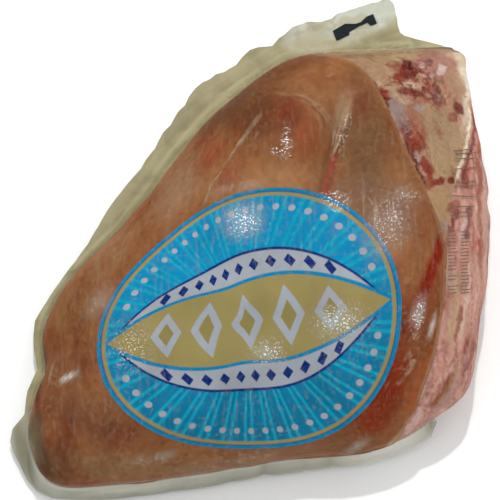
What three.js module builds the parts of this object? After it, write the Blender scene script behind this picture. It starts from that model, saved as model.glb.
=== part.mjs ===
// A smoked ham hock, bone in, vacuum-packed in one clear bag and lying on its flat side.
// Millimetres, +Z up. X runs across the pack and Y from its narrow end to the bag's tab.
// The origin is on the surface it lies on, under the middle of the pack's box.
import * as THREE from 'three';

// ---- driving dimensions ----------------------------------------------------

const SECTORS = 144;            // steps round the pack
const TOP_RINGS = 22;           // steps from the crown down to the widest line
const EVENNESS = 1.2;           // spreads those steps evenly over the crown
const UNDER_RINGS = 6;          // steps from the widest line in to the flat it lies on

const NARROW_HEIGHT = 54;       // crown of the meat at the ankle end
const WIDE_HEIGHT = 74;         // crown of the meat at the thick end
const SHOULDER = 2.4;           // how square the meat's shoulders are: 2 is an ellipse
const CROWN_ROUND = 3;          // how softly the crown meets the widest line's height
const FLAT_SHARE = 0.6;         // how much of the widest line's reach the flat underneath has
const BORDER = 1.2;             // the bag's two sheets where they lie together
const BORDER_LEAST = 1.5;       // how far the border stands out where the bag hugs the meat

// The meat's widest line, x, y and its height, anticlockwise from the right.
const WIDEST = [
  [97, 25, 26], [95, 51, 28], [93, 76, 29], [91, 88, 29], [79, 92, 28], [59, 90, 28],
  [35, 85, 28], [13, 79, 27], [-7, 63, 26], [-26, 43, 25], [-42, 20, 24], [-57, 3, 22],
  [-75, -15, 19], [-84, -35, 17], [-82, -50, 16], [-85, -62, 14], [-85, -80, 13],
  [-76, -93, 12], [-52, -93, 12], [-16, -90, 13], [20, -85, 14], [50, -81, 15],
  [68, -73, 17], [84, -61, 20], [90, -42, 22], [95, -12, 24],
];

// The bag's outer edge, in the same way. On the right it hugs the meat.
const BAG_EDGE = [
  [97, 25, 25], [96, 52, 27], [95, 78, 27], [93, 90, 25], [80, 96, 23], [69, 102, 20],
  [66, 112, 17], [62, 124, 14], [57, 125, 12], [49, 121, 12], [40, 118, 12], [28, 113, 13],
  [14, 105, 13], [1, 97, 13], [-15, 87, 13], [-27, 73, 12], [-45, 46, 11], [-66, 12, 10],
  [-80, -11, 9], [-88, -30, 8], [-85, -46, 7], [-89, -61, 5], [-96, -74, 4], [-87, -92, 3],
  [-73, -98, 3], [-46, -97, 3], [-16, -94, 3], [16, -88, 3], [45, -85, 4], [65, -79, 5],
  [75, -70, 8], [84, -58, 14], [90, -42, 20], [95, -12, 24],
];

// The middle of the rings.
const MIDDLE = new THREE.Vector2(4, -4);

// The hock's own length, from the middle of its ankle end to the middle of its thick end.
const ANKLE = new THREE.Vector2(-72, -70);
const THICK_END = new THREE.Vector2(62, 52);

// The edge where the skin stops and the sawn face starts, a curve x(y) bowed to the right.
const SKIN_EDGE = { x: 75, y: -35, bowAbove: 333, bowBelow: 112 };
const CUT_SLOPE = 0.8;          // fall of the sawn face for each millimetre out from that edge
const CUT_EDGE_ROUND = 4;       // how soft the edge is

// The fold between the calf muscle and the thick end, and the muscle's swell beside it.
const FOLD = { x: 34, y: 27, lean: 0.29, bow: 560, top: 56, low: 0, depth: 8, width: 8 };
const CALF = { at: [2, 34], reach: [40, 34], height: 5 };
const FACET_DROP = 4;           // how far the skin right of the fold lies below the calf
const FACET_REACH = 14;         // how wide that step is

// ---- the surfaces ----------------------------------------------------------

// Reach and height of a closed line, as seen from MIDDLE in one direction.
function lineFromMiddle(points) {
  const curve = new THREE.CatmullRomCurve3(
    points.map(([x, y, z]) => new THREE.Vector3(x, y, z)), true, 'centripetal');
  const samples = curve.getPoints(points.length * 24).slice(0, -1).map((point) => {
    const [dx, dy] = [point.x - MIDDLE.x, point.y - MIDDLE.y];
    return { turn: Math.atan2(dy, dx), reach: Math.hypot(dx, dy), height: point.z };
  });
  samples.sort((a, b) => a.turn - b.turn);
  const first = samples[0];
  const last = samples[samples.length - 1];
  samples.unshift({ ...last, turn: last.turn - 2 * Math.PI });
  samples.push({ ...first, turn: first.turn + 2 * Math.PI });
  return (turn) => {
    const after = samples.findIndex((sample) => sample.turn >= turn);
    const [a, b] = [samples[after - 1], samples[after]];
    const share = (turn - a.turn) / Math.max(b.turn - a.turn, 1e-9);
    return {
      reach: THREE.MathUtils.lerp(a.reach, b.reach, share),
      height: THREE.MathUtils.lerp(a.height, b.height, share),
    };
  };
}

// A smooth ramp that is 0 well before the edge and rises one for one after it.
function softRamp(distance, roundness) {
  return roundness * Math.log1p(Math.exp(distance / roundness));
}

// How far a point lies right of the skin's edge.
function beyondSkinEdge(x, y) {
  const rise = y - SKIN_EDGE.y;
  const bow = rise > 0 ? SKIN_EDGE.bowAbove : SKIN_EDGE.bowBelow;
  return x - (SKIN_EDGE.x - (rise * rise) / bow);
}

// How far a point lies right of the fold, and how strongly the fold shows there.
function besideFold(x, y) {
  const rise = y - FOLD.y;
  const lineX = FOLD.x + FOLD.lean * rise + (rise * rise) / FOLD.bow;
  const shows = THREE.MathUtils.smoothstep(y, FOLD.low - 14, FOLD.y)
    * (1 - THREE.MathUtils.smoothstep(y, FOLD.top, FOLD.top + 30));
  return { right: x - lineX, shows };
}

// Height of the meat's crown over a point, before its shoulders fall away.
function crown(x, y) {
  const axis = THICK_END.clone().sub(ANKLE);
  const along = new THREE.Vector2(x, y).sub(ANKLE).dot(axis) / axis.lengthSq();
  const body = THREE.MathUtils.lerp(
    NARROW_HEIGHT, WIDE_HEIGHT, THREE.MathUtils.smoothstep(along, 0, 0.8));
  const calf = CALF.height * Math.exp(
    -(((x - CALF.at[0]) / CALF.reach[0]) ** 2) - ((y - CALF.at[1]) / CALF.reach[1]) ** 2);
  const fold = besideFold(x, y);
  const groove = FOLD.depth * Math.exp(-((fold.right / FOLD.width) ** 2));
  const step = FACET_DROP * THREE.MathUtils.smoothstep(fold.right, 0, FACET_REACH);
  const cut = CUT_SLOPE * softRamp(beyondSkinEdge(x, y), CUT_EDGE_ROUND);
  return body + calf - (groove + step) * fold.shows - cut;
}

const widest = lineFromMiddle(WIDEST);
const bagEdge = lineFromMiddle(BAG_EDGE);

// One point of the surface: a direction, a reach from MIDDLE and a height.
function place(turn, reach, height) {
  return [MIDDLE.x + reach * Math.cos(turn), MIDDLE.y + reach * Math.sin(turn), height];
}

// The points of one sector's line, from the crown, out over the edge and in underneath.
function sectorLine(turn) {
  const rim = widest(turn);
  const edge = bagEdge(turn);
  const outer = Math.max(edge.reach, rim.reach + BORDER_LEAST);
  const line = [];
  for (let ring = 1; ring <= TOP_RINGS; ring++) {
    const lean = (ring / TOP_RINGS) ** EVENNESS * (Math.PI / 2);
    const reach = rim.reach * Math.sin(lean) ** (2 / SHOULDER);
    const fall = Math.cos(lean) ** (2 / SHOULDER);
    const [x, y] = place(turn, reach, 0);
    const low = rim.height + BORDER / 2;
    const rise = softRamp(crown(x, y) - low, CROWN_ROUND);
    line.push(place(turn, reach, low + rise * (ring < TOP_RINGS ? fall : 0)));
  }
  const half = (rim.reach + outer) / 2;
  const halfHeight = (rim.height + edge.height) / 2;
  line.push(place(turn, half, halfHeight + BORDER / 2));
  line.push(place(turn, outer, edge.height + BORDER / 2));
  line.push(place(turn, outer, edge.height - BORDER / 2));
  line.push(place(turn, half, halfHeight - BORDER / 2));
  const low = rim.height - BORDER / 2;
  for (let ring = UNDER_RINGS; ring >= 0; ring--) {
    const lean = (ring / UNDER_RINGS) * (Math.PI / 2);
    const share = FLAT_SHARE + (1 - FLAT_SHARE) * Math.sin(lean);
    line.push(place(turn, rim.reach * share, ring ? low * (1 - Math.cos(lean)) : 0));
  }
  return line;
}

// Joins the sectors' lines and the two middles into one closed skin.
function packGeometry() {
  const points = [[MIDDLE.x, MIDDLE.y, crown(MIDDLE.x, MIDDLE.y)], [MIDDLE.x, MIDDLE.y, 0]];
  const [crownPoint, basePoint] = [0, 1];
  for (let sector = 0; sector < SECTORS; sector++) {
    points.push(...sectorLine(-Math.PI + ((sector + 0.5) / SECTORS) * 2 * Math.PI));
  }
  const rings = (points.length - 2) / SECTORS;
  const at = (sector, ring) => 2 + (sector % SECTORS) * rings + ring;
  const faces = [];
  for (let sector = 0; sector < SECTORS; sector++) {
    faces.push(crownPoint, at(sector, 0), at(sector + 1, 0));
    for (let ring = 0; ring < rings - 1; ring++) {
      faces.push(at(sector, ring), at(sector, ring + 1), at(sector + 1, ring + 1));
      faces.push(at(sector, ring), at(sector + 1, ring + 1), at(sector + 1, ring));
    }
    faces.push(basePoint, at(sector + 1, rings - 1), at(sector, rings - 1));
  }
  const geometry = new THREE.BufferGeometry();
  geometry.setAttribute('position', new THREE.Float32BufferAttribute(points.flat(), 3));
  geometry.setIndex(faces);
  geometry.computeVertexNormals();
  return geometry;
}

// ---- the pack --------------------------------------------------------------

// Smoked skin seen through the tight, glossy bag.
const packedMeat = new THREE.MeshStandardMaterial({
  color: 0x9b6a48,
  roughness: 0.35,
  metalness: 0,
});

const hockPack = new THREE.Mesh(packGeometry(), packedMeat);
hockPack.name = 'hock_pack';

const box = new THREE.Box3().setFromBufferAttribute(hockPack.geometry.getAttribute('position'));
hockPack.geometry.translate(
  -(box.min.x + box.max.x) / 2, -(box.min.y + box.max.y) / 2, -box.min.z);

const hock = new THREE.Group();
hock.add(hockPack);

export default hock;
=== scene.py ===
import math

import bpy
import numpy as np
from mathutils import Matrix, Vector
from mathutils.bvhtree import BVHTree
from mathutils.geometry import delaunay_2d_cdt


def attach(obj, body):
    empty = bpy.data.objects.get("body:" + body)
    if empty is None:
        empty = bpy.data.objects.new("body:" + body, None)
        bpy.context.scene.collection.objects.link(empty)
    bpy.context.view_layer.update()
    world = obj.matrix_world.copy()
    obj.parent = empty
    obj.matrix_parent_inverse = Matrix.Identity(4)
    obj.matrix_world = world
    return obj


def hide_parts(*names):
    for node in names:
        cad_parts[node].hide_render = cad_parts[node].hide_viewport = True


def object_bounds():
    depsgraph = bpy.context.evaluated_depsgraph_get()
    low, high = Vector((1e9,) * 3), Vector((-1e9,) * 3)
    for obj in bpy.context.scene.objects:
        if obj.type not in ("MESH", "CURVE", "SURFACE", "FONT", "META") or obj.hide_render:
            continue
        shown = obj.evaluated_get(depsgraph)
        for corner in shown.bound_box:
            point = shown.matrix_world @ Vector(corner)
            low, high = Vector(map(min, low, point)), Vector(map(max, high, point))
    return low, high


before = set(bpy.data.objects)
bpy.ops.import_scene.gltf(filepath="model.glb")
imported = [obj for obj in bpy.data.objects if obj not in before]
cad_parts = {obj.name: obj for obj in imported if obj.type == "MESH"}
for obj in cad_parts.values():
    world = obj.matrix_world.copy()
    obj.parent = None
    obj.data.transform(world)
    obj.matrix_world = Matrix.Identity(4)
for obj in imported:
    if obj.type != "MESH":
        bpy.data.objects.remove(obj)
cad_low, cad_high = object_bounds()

MM = 0.001

# ---- camera, light and table ------------------------------------------------
# The pack lies on a pale table and is seen from high over its front. One small lamp
# nearly overhead makes the glints on the film, and wide soft light fills the rest.

LOOK_AT = np.array((-0.5, -13.5, 25.0))     # millimetres, in the frame
LOOK_HEIGHT = math.radians(68)
LOOK_DISTANCE = 620.0
SEEN_WIDTH = 205.0              # millimetres that the picture's width takes in at LOOK_AT
PICTURE_SIDE = 500.0            # pixels
SENSOR = 36.0

towards_eye = np.array((0, -math.cos(LOOK_HEIGHT), math.sin(LOOK_HEIGHT)))
picture_up = np.array((0, math.sin(LOOK_HEIGHT), math.cos(LOOK_HEIGHT)))
eye = LOOK_AT + LOOK_DISTANCE * towards_eye

camera_data = bpy.data.cameras.new("camera")
camera_data.sensor_width = SENSOR
camera_data.lens = SENSOR * LOOK_DISTANCE / SEEN_WIDTH
camera = bpy.data.objects.new("camera", camera_data)
camera.location = Vector(eye) * MM
camera.rotation_euler = (math.pi / 2 - LOOK_HEIGHT, 0, 0)
bpy.context.collection.objects.link(camera)
bpy.context.scene.camera = camera
bpy.context.scene.view_settings.view_transform = "Standard"

LAMP_PLACE, LAMP_AIM = Vector((0.03, 0.44, 1.05)), Vector((0, 0, 0.04))
lamp_data = bpy.data.lights.new("overhead_lamp", "AREA")
lamp_data.shape = "DISK"
lamp_data.size = 0.03
lamp_data.energy = 5.5
lamp = bpy.data.objects.new("overhead_lamp", lamp_data)
lamp.location = LAMP_PLACE
lamp.rotation_euler = (LAMP_AIM - LAMP_PLACE).to_track_quat("-Z", "Y").to_euler()
bpy.context.collection.objects.link(lamp)

world = bpy.data.worlds.new("room")
world.use_nodes = True
room_light = world.node_tree.nodes["Background"]
room_light.inputs["Color"].default_value = (0.98, 0.99, 1.0, 1)
room_light.inputs["Strength"].default_value = 0.93
bpy.context.scene.world = world


def feed(tree, node, inputs):
    """Gives each of a node's inputs a value, or another node's output to link."""
    for socket, value in inputs.items():
        if isinstance(value, bpy.types.NodeSocket):
            tree.links.new(value, node.inputs[socket])
        else:
            node.inputs[socket].default_value = value


def new_material(name, inputs):
    """A material, its node tree and its shader, which has these inputs."""
    material = bpy.data.materials.new(name)
    material.use_nodes = True
    tree = material.node_tree
    shader = tree.nodes["Principled BSDF"]
    feed(tree, shader, inputs)
    return material, tree, shader


TABLE_REACH = 3.0               # metres from its middle to its edges
TABLE_GAP = 0.2 * MM            # how far the table lies under the pack
corners = [(x * TABLE_REACH, y * TABLE_REACH, -TABLE_GAP)
           for x, y in ((-1, -1), (1, -1), (1, 1), (-1, 1))]
table_mesh = bpy.data.meshes.new("table")
table_mesh.from_pydata(corners, [], [(0, 1, 2, 3)])
table = bpy.data.objects.new("table", table_mesh)
bpy.context.collection.objects.link(table)
pale_table, *_ = new_material("pale_table", {"Base Color": (0.9, 0.9, 0.89, 1), "Roughness": 0.6})
table_mesh.materials.append(pale_table)

# ---- the meat -------------------------------------------------------------------
# One smoked pork hock. Brown skin covers the ankle, the calf and the flat side; the
# thick end is sawn through, so fat, muscle and a little cartilage show there.

# The meat's widest line and the bag's outer edge, as x, y and height in millimetres,
# anticlockwise from the right.
WIDEST = [
    (97, 25, 26), (95, 51, 28), (93, 76, 29), (91, 88, 29), (79, 92, 28), (59, 90, 28),
    (35, 85, 28), (13, 79, 27), (-7, 63, 26), (-26, 43, 25), (-42, 20, 24), (-57, 3, 22),
    (-75, -15, 19), (-84, -35, 17), (-82, -50, 16), (-85, -62, 14), (-85, -80, 13),
    (-76, -93, 12), (-52, -93, 12), (-16, -90, 13), (20, -85, 14), (50, -81, 15),
    (68, -73, 17), (84, -61, 20), (90, -42, 22), (95, -12, 24),
]
BAG_EDGE = [
    (97, 25, 25), (96, 52, 27), (95, 78, 27), (93, 90, 25), (80, 96, 23), (69, 102, 20),
    (66, 112, 17), (62, 124, 14), (57, 125, 12), (49, 121, 12), (40, 118, 12), (28, 113, 13),
    (14, 105, 13), (1, 97, 13), (-15, 87, 13), (-27, 73, 12), (-45, 46, 11), (-66, 12, 10),
    (-80, -11, 9), (-88, -30, 8), (-85, -46, 7), (-89, -61, 5), (-96, -74, 4), (-87, -92, 3),
    (-73, -98, 3), (-46, -97, 3), (-16, -94, 3), (16, -88, 3), (45, -85, 4), (65, -79, 5),
    (75, -70, 8), (84, -58, 14), (90, -42, 20), (95, -12, 24),
]
MIDDLE = np.array((4.0, -4.0))  # the point that all rings run round, seen from above
ANKLE, THICK_END = np.array((-72.0, -70.0)), np.array((62.0, 52.0))
NARROW_HEIGHT, WIDE_HEIGHT = 54.0, 74.0     # crown of the meat at those two ends
SHOULDER = 2.4                  # how square the meat's shoulders are: 2 is an ellipse
EVENNESS = 1.2                  # spreads the rows evenly over the crown
CROWN_ROUND = 3.0               # how softly the crown meets the widest line's height
FLAT_SHARE = 0.6                # share of the widest line's reach that lies flat underneath

# The calf muscle's swell, the fold beside it, the lower skin right of the fold, and the
# sawn face's slope.
CALF_X, CALF_Y, CALF_REACH, CALF_RISE, CALF_HEIGHT = 2, 34, 40, 34, 5
FOLD_X, FOLD_Y, FOLD_LEAN, FOLD_BOW = 34, 27, 0.29, 560
FOLD_FROM, FOLD_FADES, FOLD_TO = -14, 56, 86
FOLD_DEPTH, FOLD_WIDTH = 8, 8
FACET_DROP, FACET_REACH = 4, 14
CUT_X, CUT_Y, CUT_BOW_ABOVE, CUT_BOW_BELOW = 75, -35, 333.0, 112.0
CUT_SLOPE, CUT_EDGE_ROUND = 0.8, 4


def closed_curve(points, steps=24):
    """A smooth closed line through the points."""
    p = np.array(points, float)
    rows = []
    for i in range(len(p)):
        a, b, c, d = (p[(i + k) % len(p)] for k in (-1, 0, 1, 2))
        t = np.cumsum([0] + [np.linalg.norm(v - u) ** 0.5 for u, v in ((a, b), (b, c), (c, d))])
        at = np.linspace(t[1], t[2], steps, endpoint=False)[:, None]

        def between(low, high, first, last):
            return ((t[last] - at) * low + (at - t[first]) * high) / (t[last] - t[first])

        ab, bc, cd = between(a, b, 0, 1), between(b, c, 1, 2), between(c, d, 2, 3)
        rows.append(between(between(ab, bc, 0, 2), between(bc, cd, 1, 3), 1, 2))
    return np.concatenate(rows)


widest_curve, bag_curve = closed_curve(WIDEST), closed_curve(BAG_EDGE)
box_middle = (bag_curve.min(0) + bag_curve.max(0)) / 2
shift = np.append(box_middle[:2] - np.array(cad_low + cad_high)[:2] / 2 / MM, 0)


def seen_from_middle(curve, turn):
    """A closed line's reach and height in each direction from MIDDLE."""
    across, along = curve[:, 0] - MIDDLE[0], curve[:, 1] - MIDDLE[1]
    angle = np.arctan2(along, across)
    reach = np.interp(turn, angle, np.hypot(across, along), period=2 * np.pi)
    return reach, np.interp(turn, angle, curve[:, 2], period=2 * np.pi)


def ease(low, high, value):
    share = np.clip((value - low) / (high - low), 0, 1)
    return share * share * (3 - 2 * share)


def crown(x, y):
    """Height of the meat over a point as drawn, before its shoulders fall away."""
    axis = THICK_END - ANKLE
    along = ((x - ANKLE[0]) * axis[0] + (y - ANKLE[1]) * axis[1]) / (axis @ axis)
    body = NARROW_HEIGHT + (WIDE_HEIGHT - NARROW_HEIGHT) * ease(0, 0.8, along)
    calf = CALF_HEIGHT * np.exp(-((x - CALF_X) / CALF_REACH) ** 2 - ((y - CALF_Y) / CALF_RISE) ** 2)
    rise = y - FOLD_Y
    right = x - (FOLD_X + FOLD_LEAN * rise + rise * rise / FOLD_BOW)
    shows = ease(FOLD_FROM, FOLD_Y, y) * (1 - ease(FOLD_FADES, FOLD_TO, y))
    groove = FOLD_DEPTH * np.exp(-(right / FOLD_WIDTH) ** 2)
    fold = (groove + FACET_DROP * ease(0, FACET_REACH, right)) * shows
    above_edge = y - CUT_Y
    bow = np.where(above_edge > 0, CUT_BOW_ABOVE, CUT_BOW_BELOW)
    past_edge = x - (CUT_X - above_edge ** 2 / bow)
    cut = CUT_SLOPE * CUT_EDGE_ROUND * np.logaddexp(0, past_edge / CUT_EDGE_ROUND)
    return body + calf - fold - cut


def body_points(turn, level):
    """The hock's surface: level 0 is its crown, 1 its widest line, 2 the flat it lies on."""
    reach, height = seen_from_middle(widest_curve, turn)
    top = level <= 1
    lean = np.where(top, np.minimum(level, 1) ** EVENNESS, 2 - level) * np.pi / 2
    under_share = FLAT_SHARE + (1 - FLAT_SHARE) * np.sin(lean)
    share = np.where(top, np.sin(lean) ** (2 / SHOULDER), under_share)
    x = MIDDLE[0] + reach * share * np.cos(turn)
    y = MIDDLE[1] + reach * share * np.sin(turn)
    fall = np.clip(np.cos(lean), 0, 1) ** (2 / SHOULDER)
    rise = CROWN_ROUND * np.logaddexp(0, (crown(x, y) - height) / CROWN_ROUND)
    z = np.where(top, height + rise * fall, height * (1 - np.cos(lean)))
    return np.stack([x, y, z], -1) - shift


def grid_normals(points, closed=True):
    """Outward normals of a grid whose rows run round the hock and follow each other down."""
    down = np.gradient(points, axis=0)
    if closed:
        along = (np.roll(points, -1, 1) - np.roll(points, 1, 1)) / 2
    else:
        along = np.gradient(points, axis=1)
    normals = np.cross(down, along)
    return normals / np.maximum(np.linalg.norm(normals, axis=2, keepdims=True), 1e-9)


CLOUD_SIDE = 24                 # cells of noise each way before they repeat
CLOUD_START = 100               # how many cells the origin lies from their corner
CLOUD_LOUDER = 1.4              # brings smooth noise back to about -1 and 1


def cloud(points, size, seed, layers=2):
    """Smooth noise between about -1 and 1, with lumps of this size."""
    total, weight, share = 0, 0, 1.0
    for layer in range(layers):
        lattice = np.random.default_rng(seed + layer).uniform(-1, 1, (CLOUD_SIDE,) * 3)
        at = points / size * 2 ** layer + CLOUD_START
        cell = np.floor(at).astype(int)
        part = at - cell
        part = part * part * (3 - 2 * part)
        value = 0
        for corner in range(8):
            step = np.array((corner & 1, corner >> 1 & 1, corner >> 2 & 1))
            i = (cell + step) % CLOUD_SIDE
            w = np.prod(np.where(step, part, 1 - part), axis=-1)
            value = value + w * lattice[i[..., 0], i[..., 1], i[..., 2]]
        total, weight, share = total + value * share, weight + share, share / 2
    return total / weight * CLOUD_LOUDER


def beside(px, py, line):
    """How far picture places lie from a line drawn in the picture, signed on which side
    (above or right of a line that runs to the right or down is positive), and how far
    along the line each one is, from 0 to 1."""
    nearest = np.full(px.shape, 1e9)
    side, along = np.ones(px.shape), np.zeros(px.shape)
    line = np.array(line, float)
    lengths = np.linalg.norm(np.diff(line, axis=0), axis=1)
    done = 0.0
    for (ax, ay), (bx, by), length in zip(line[:-1], line[1:], lengths):
        ux, uy = (bx - ax) / length, (by - ay) / length
        run = np.clip((px - ax) * ux + (py - ay) * uy, 0, length)
        dx, dy = px - ax - run * ux, py - ay - run * uy
        gap = np.hypot(dx, dy)
        closer = gap < nearest
        nearest = np.where(closer, gap, nearest)
        side = np.where(closer, np.where(ux * dy - uy * dx < 0, 1, -1), side)
        along = np.where(closer, (done + run) / lengths.sum(), along)
        done += length
    return nearest * side, along


def stroke(px, py, line, width, fade=0.15):
    """1 on a line drawn in the picture, fading over its width and towards its ends."""
    gap, along = beside(px, py, line)
    ends = ease(0, fade, along) * ease(0, fade, 1 - along)
    return np.exp(-(gap / width) ** 2) * ends


def patch(px, py, x, y, reach, rise, turn=0, soft=0.5):
    """1 inside an ellipse drawn in the picture, fading to 0 over its soft edge."""
    c, s = math.cos(math.radians(turn)), math.sin(math.radians(turn))
    dx, dy = px - x, py - y
    away = np.hypot((dx * c + dy * s) / reach, (dy * c - dx * s) / rise)
    return 1 - ease(1 - soft, 1 + soft, away)


def tint(colours, share, colour, strength=1.0):
    """Lays a colour over a field of colours where share is 1."""
    share = np.clip(share * strength, 0, 1)[..., None]
    return colours * (1 - share) + colour * share


def mesh_piece(name, points, faces, material):
    """A smooth mesh, its points in millimetres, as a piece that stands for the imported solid."""
    mesh = bpy.data.meshes.new(name)
    mesh.from_pydata((points * MM).tolist(), [], faces)
    mesh.polygons.foreach_set("use_smooth", [True] * len(mesh.polygons))
    mesh.materials.append(material)
    piece = bpy.data.objects.new(name, mesh)
    bpy.context.collection.objects.link(piece)
    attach(piece, "root")
    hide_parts("hock_pack")
    return piece


def grid_mesh(grid, form):
    """Points and faces of a mesh of rows. A closed one runs round and is drawn together to a
    point at both ends, a disc only at its first row, a ring's last row meets its first, and
    an open one does none of these."""
    rings, sectors = grid.shape[:2]
    index = np.arange(rings * sectors).reshape(rings, sectors)
    if form == "ring":
        index = np.concatenate([index, index[:1]])
    after = index[:, 1:] if form == "open" else np.roll(index, -1, 1)
    before = index[:, :-1] if form == "open" else index
    faces = np.stack([before[:-1], before[1:], after[1:], after[:-1]], -1).reshape(-1, 4).tolist()
    points = [grid.reshape(-1, 3)]
    if form in ("closed", "disc"):
        points.append(grid[:1].mean(1))
        faces += [(index.size, a, b) for a, b in zip(index[0].tolist(), after[0].tolist())]
    if form == "closed":
        points.append(grid[-1:].mean(1))
        faces += [(index.size + 1, b, a) for a, b in zip(index[-1].tolist(), after[-1].tolist())]
    return np.concatenate(points), faces


def grid_piece(name, grid, material, form="closed", fields=None):
    """A piece made of rows, with colours or values at its points as fields."""
    points, faces = grid_mesh(grid, form)
    piece = mesh_piece(name, points, faces, material)
    count = grid.shape[0] * grid.shape[1]
    tips = [0, -1][:len(points) - count]
    for label, field in (fields or {}).items():
        flat = field.reshape(count, -1)
        flat = np.concatenate([flat, flat[tips]])
        if flat.shape[1] == 3:
            kind, part, flat = "FLOAT_COLOR", "color", np.c_[flat, np.ones(len(flat))]
        else:
            kind, part = "FLOAT", "value"
        layer = piece.data.attributes.new(label, kind, "POINT")
        layer.data.foreach_set(part, flat.ravel().astype(np.float32))
    return piece


def picture_place(points):
    """Where points in millimetres fall in the 500 x 500 picture, across and down."""
    away = points - LOOK_AT
    scale = LOOK_DISTANCE / (LOOK_DISTANCE - away @ towards_eye) * PICTURE_SIDE / SEEN_WIDTH
    half = PICTURE_SIDE / 2
    return half + away[..., 0] * scale, half - (away @ picture_up) * scale


SWELLS = [
    # how far it swells, then an ellipse in the picture
    (2.3, 484, 215, 26, 110, 0), (1.6, 474, 372, 22, 40, 20), (2.0, 80, 482, 120, 18, 0),
    (1.6, 370, 458, 60, 16, -12), (2.0, 458, 49, 18, 11, 0), (2.4, 28, 442, 22, 44, 0),
]


def lumps(points):
    """The uneven swell that meat and film share, in millimetres."""
    px, py = picture_place(points)
    swell = sum(height * patch(px, py, *ellipse, soft=0.9) for height, *ellipse in SWELLS)
    return swell + 0.6 * cloud(points, 22, 3) + 0.16 * cloud(points, 8, 5)


TURNS_AWAY_AT = 0.25            # below this cosine towards the eye a surface starts to fade


def facing_eye(normals, level):
    """1 where the hock's upper side turns to the eye, fading to 0 where it turns away."""
    return np.clip(normals @ towards_eye / TURNS_AWAY_AT, 0, 1) * (level <= 1)


UNDER_FILM = 0.35               # how far the meat lies inside the film
SKIN_STEP = 1.3                 # how far the sawn face lies below the skin's edge
# Lines in the picture: where the skin stops, and the inner side of the far rim of lean.
SKIN_EDGE = [
    (296, 50), (318, 53), (338, 55), (354, 61), (368, 73), (378, 88), (388, 108), (402, 140),
    (426, 190), (440, 222), (447, 250), (446, 285), (439, 343), (430, 374), (415, 411), (399, 436),
    (376, 460),
]
SKIN_EDGE_BEHIND = 66           # x beyond which the side that can't be seen is sawn too
EDGE_DRAWS_IN = 18              # how much less that is towards the ankle end
PIXELS_A_MM = 2.4               # of the picture, about
RIM_LINE = [
    (466, 50), (469, 80), (470, 110), (468, 138), (462, 165), (452, 196), (450, 215),
]


def srgb(code):
    """A colour written as six hexadecimal digits, as linear red, green and blue."""
    parts = np.array([int(code[i:i + 2], 16) for i in (0, 2, 4)]) / 255
    return np.where(parts <= 0.04045, parts / 12.92, ((parts + 0.055) / 1.055) ** 2.4)


LIGHT_SHARE, VEIL, DARKEST = 0.84, 0.006, 0.002     # found by comparing renders


def paint(code):
    """A colour as seen in this light, less the pale veil that the film lays over it."""
    return np.clip(LIGHT_SHARE * srgb(code) - VEIL, DARKEST, 1)


# Colours of the tissues: those of whole areas, then the codes of those in the lists.
RIND, RIND_TAN, RIND_DARK, RIND_RED = (paint(c) for c in ("8A5937", "A06F48", "6A432B", "7A3324"))
FAT, FAT_OLIVE, FAT_PINK = (paint(c) for c in ("A58466", "9E8062", "A4756A"))
LEAN, LEAN_PALE, LEAN_DARK = (paint(c) for c in ("C69484", "D6B2A4", "A0665E"))
# The cream colour is a painted highlight along the fat's rim.
BLOOD, DARK_BLOOD, LILAC, PEARL, RIM_HIGHLIGHT_CREAM = "7E2A1F", "4C1C1C", "94807A", "C6B0A8", "E6D8C0"

SKIN_PATCHES = [
    # colour, strength, then an ellipse in the picture: across, down, reach, rise, turn
    ("8F6040", 0.8, 318, 92, 34, 26, 15), ("8E5E39", 0.8, 300, 74, 44, 12, -5),
    ("764A2D", 0.8, 268, 82, 26, 14, -35), ("704226", 0.85, 288, 66, 34, 9, -22),
    # 5E3D27 and 5F3A26: painted shade on the lobe's far slope, by the film's upper edge.
    ("5E3D27", 0.9, 228, 104, 44, 12, -42), ("5F3A26", 0.9, 258, 114, 34, 18, -15),
    ("75402B", 0.85, 288, 116, 22, 16, 0), ("8A4A30", 0.75, 305, 140, 15, 17, 0),
    ("7C3526", 0.6, 290, 108, 8, 8, 0), ("A2744F", 0.9, 266, 184, 56, 20, -8),
    ("956C4C", 0.8, 186, 180, 34, 18, -55), ("93523A", 0.7, 231, 176, 9, 18, 35),
    ("86442C", 0.7, 208, 160, 8, 20, 35), ("74553A", 0.9, 368, 150, 24, 60, -8),
    ("744530", 0.8, 360, 106, 12, 18, 20), ("B08C6A", 0.85, 345, 108, 7, 16, 15),
    # 7C5A46: the lower facet greyed by painted sheen.
    ("7C5A46", 0.8, 372, 200, 44, 22, 10), ("94694A", 0.6, 416, 200, 6, 44, -25),
    ("835234", 0.8, 428, 226, 16, 22, -25), ("997352", 0.7, 108, 258, 34, 12, -52),
    ("8A633E", 0.6, 78, 306, 28, 26, -50), ("794526", 0.7, 52, 342, 14, 14, 0),
    ("7C5238", 0.7, 76, 366, 26, 18, 0), ("704632", 0.85, 94, 420, 48, 18, 20),
    ("80573B", 0.6, 96, 404, 18, 14, 0), ("6E3A26", 0.6, 66, 440, 10, 20, 0),
    ("866445", 0.85, 112, 468, 66, 14, -4), ("664630", 0.85, 54, 466, 20, 20, -20),
    ("8A6446", 0.8, 240, 464, 100, 10, -9), ("7C2A1A", 0.95, 386, 388, 21, 46, 24),
    ("80311C", 0.85, 370, 421, 20, 13, -30), ("7A4A2E", 0.6, 348, 432, 14, 8, -10),
    ("80543A", 0.8, 340, 448, 40, 10, -8), ("7B472A", 0.95, 432, 318, 8, 52, 8),
    ("97522F", 0.9, 420, 384, 9, 34, 22), ("8E5A3A", 0.9, 404, 270, 12, 24, 15),
    ("6E3424", 0.8, 408, 318, 10, 26, 10), ("7C4028", 0.7, 36, 430, 6, 26, 10),
]
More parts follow.
